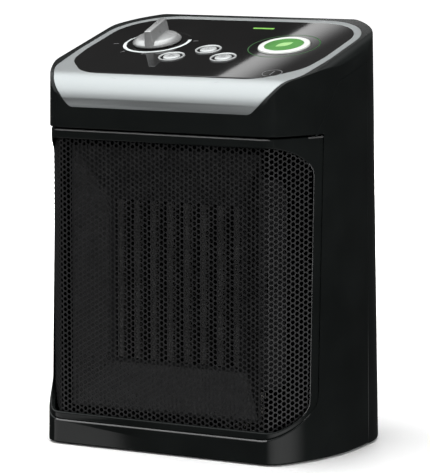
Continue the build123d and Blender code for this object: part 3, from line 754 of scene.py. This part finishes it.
button_places = {"left": (-0.0175, 0.0512), "middle": (0.0005, 0.0679), "right": (0.0188, 0.0531)}
bright_lacquer = finish("bright_silver_lacquer", (0.66, 0.68, 0.68), 0.26, metallic=0.5, grain=5200,
                        relief=0.000003, cloud=3800, mottle=0.04)
bezel_profile = [(0.0073, -0.0029), (0.0075, -0.0029), (0.0075, 0.0001), (0.0087, 0.0001), (0.0087, 0.0004),
                 (0.00855, 0.0007), (0.0082, 0.0008), (0.0078, 0.00075), (0.0075, 0.0005), (0.0073, 0.0001),
                 (0.0073, -0.0029)]
well_profile = [(0.0064, -0.0029), (0.00729, -0.0029), (0.00729, 0.0001), (0.0071, 0.00005),
                (0.0069, -0.0014), (0.0064, -0.0018), (0.0064, -0.0029)]
bezels = [seat(turned("bezel", bezel_profile), x, s) for x, s in button_places.values()]
fit(joined("button_bezel_rings", bezels), bright_lacquer, "button_silver", "housing", "button_bezels")
wells = [seat(turned("well", well_profile), x, s) for x, s in button_places.values()]
fit(joined("button_wells", wells), dark_moulding, "inner_black", "housing")

cap_profile = [(0, -0.006), (0.0074, -0.006), (0.0074, -0.0048), (0.0056, -0.0048), (0.0056, 0.0001),
               (0.00545, 0.0005), (0.0050, 0.00078), (0.0042, 0.0009), (0.0028, 0.00098), (0.0014, 0.001),
               (0, 0.001)]
cap_top = 0.00094


def wave(x):
    """Outline of a short rising wave, as on a heat setting."""
    steps = [step / 12 for step in range(13)]
    line = [(x + 0.00035 * sin(2 * pi * t), 0.0036 * (t - 0.5)) for t in steps]
    return [(a - 0.0003, b) for a, b in line] + [(a + 0.0003, b) for a, b in line[::-1]]


symbols = {
    "left": [arc_band(0.0006, 0.0022, radians(turn), radians(turn + 55), 6) for turn in (90, 210, 330)],
    "middle": [wave(0.0)],
    "right": [wave(-0.0009), wave(0.0009)],
}
symbol_grey = finish("symbol_grey", (0.07, 0.07, 0.075), 0.45, grain=3000, mottle=0.1)
for side, (x, s) in button_places.items():
    cap = turned(f"{side}_button_cap", cap_profile)
    seat(cap, x, s)
    fit(cap, bright_lacquer, "button_silver", f"{side}_key", f"{side}_button")
    marks = joined(f"{side}_button_symbol", [printed("mark", outline) for outline in symbols[side]])
    seat(marks, x, s, cap_top)
    fit(marks, symbol_grey, "scale_white", f"{side}_key")

# Large round button ---------------------------------------------------------------------------
# A white polished ring with a green insert, in one piece that presses a tact switch below it. The insert
# carries a leaf in a paler green, and a thin green line is printed round the button.

eco_x, eco_s = 0.0484, 0.0810
white_plastic = finish("white_polished_plastic", (0.74, 0.76, 0.73), 0.2, grain=900, relief=0.000002,
                       mottle=0.02)
green_insert = finish("green_insert", (0.065, 0.24, 0.045), 0.25, grain=1200, relief=0.000003,
                      mottle=0.25)
leaf_green = finish("leaf_green", (0.30, 0.52, 0.20), 0.35, grain=1500, mottle=0.08)
ring_profile = [(0.0035, -0.006), (0.0185, -0.006), (0.0185, -0.0048), (0.0169, -0.0048), (0.0169, 0.0004),
                (0.01675, 0.0008), (0.0164, 0.00105), (0.0160, 0.0012), (0.0133, 0.0012), (0.01295, 0.0011),
                (0.0129, 0.0009), (0.0129, 0.0), (0.0035, 0.0), (0.0035, -0.006)]
ring = turned("eco_button_ring", ring_profile, 96)
seat(ring, eco_x, eco_s)
fit(ring, white_plastic, "eco_white", "eco_key", "eco_button")
lens_profile = [(0, 0.00002), (0.01285, 0.00002), (0.01285, 0.0008), (0.0126, 0.00102), (0.011, 0.00108),
                (0.006, 0.00115), (0, 0.0012)]
lens = turned("eco_button_insert", lens_profile, 96)
seat(lens, eco_x, eco_s)
fit(lens, green_insert, "eco_green", "eco_key", "eco_lens")


def leaf(length, width, bend):
    """Outline of a pointed leaf that stands on its stalk."""
    steps = [step / 10 for step in range(11)]
    right = [(width * sin(pi * t) + bend * t * t, length * (t - 0.5)) for t in steps]
    left = [(-width * sin(pi * t) + bend * t * t, length * (t - 0.5)) for t in steps[1:-1]]
    return right + left[::-1]


leaf_mark = printed("eco_leaf_mark", leaf(0.0125, 0.0036, 0.001))
seat(leaf_mark, eco_x, eco_s, 0.00112, radians(-35))
fit(leaf_mark, leaf_green, "eco_green", "eco_key")

# Thermostat knob ------------------------------------------------------------------------------
# A moulded knob in silver lacquer on the thermostat's shaft: a low cone with a tall bar grip across it.

knob_turn = radians(8.5)
knob_profile = [(0, 0.0006), (0.0158, 0.0006), (0.0160, 0.0010), (0.0160, 0.0018), (0.0157, 0.0023),
                (0.0140, 0.0038), (0.0132, 0.0043), (0.0120, 0.0046), (0.0, 0.0048)]
skirt = turned("knob_skirt", knob_profile, 96)
clear()
grip_half, grip_low, grip_high = 0.0158, 0.0007, 0.0120
grip_width = 0.0070
grip_middle = (0, 0, (grip_low + grip_high) / 2)
bpy.ops.mesh.primitive_cube_add(size=1, location=grip_middle)
grip = bpy.context.active_object
grip.name = "knob_grip"
bpy.ops.object.transform_apply(location=True, rotation=True, scale=True)
bpy.ops.object.mode_set(mode="EDIT")
bpy.ops.mesh.select_all(action="SELECT")
grip_size = (grip_width, 2 * grip_half, grip_high - grip_low)
bpy.ops.transform.resize(value=grip_size, center_override=grip_middle)
bpy.ops.object.mode_set(mode="OBJECT")
pick(grip, "FACE", lambda face: face.normal.z > 0.9)
bpy.ops.transform.resize(value=(0.70, 0.97, 1), center_override=(0, -0.0006, grip_high))
pick(grip, "EDGE", lambda edge: abs((edge.verts[0].co - edge.verts[1].co).normalized().z) > 0.8)
bpy.ops.mesh.bevel(offset=0.0012, segments=4, affect="EDGES")
pick(grip, "EDGE", lambda edge: all(v.co.z > grip_high - 0.0001 for v in edge.verts))
bpy.ops.mesh.bevel(offset=0.0007, segments=3, affect="EDGES")
bpy.ops.object.mode_set(mode="OBJECT")
clear()
skirt.select_set(True)
bpy.context.view_layer.objects.active = skirt
union = skirt.modifiers.new("grip", "BOOLEAN")
union.operation = "UNION"
union.object = grip
bpy.ops.object.modifier_apply(modifier="grip")
bpy.data.objects.remove(grip)
skirt.name = "thermostat_knob"
foot = skirt.modifiers.new("foot", "BEVEL")
foot.limit_method = "ANGLE"
foot.angle_limit = radians(40)
foot.width = 0.0003
foot.segments = 2
bpy.ops.object.modifier_apply(modifier="foot")
bpy.ops.object.shade_smooth_by_angle(angle=radians(38))
seat(skirt, knob_x, knob_s, 0, knob_turn)
knob_lacquer = finish("knob_lacquer", (0.56, 0.565, 0.565), 0.27, metallic=0.65, grain=5200, relief=0.000003,
                      cloud=3800, mottle=0.05)
fit(skirt, knob_lacquer, "knob_silver", "dial", "control_knob")

board_mask = finish("board_mask", (0.015, 0.10, 0.045), 0.35, grain=900, cloud=300, mottle=0.4)
switch_black = finish("switch_black", (0.02, 0.02, 0.02), 0.4, grain=1500)
dress(board_mask, "control_board")
dress(switch_black, "tact_switches", "thermostat")
dress(plated_steel, "board_screws")
dress(turned_steel, "thermostat_shaft")
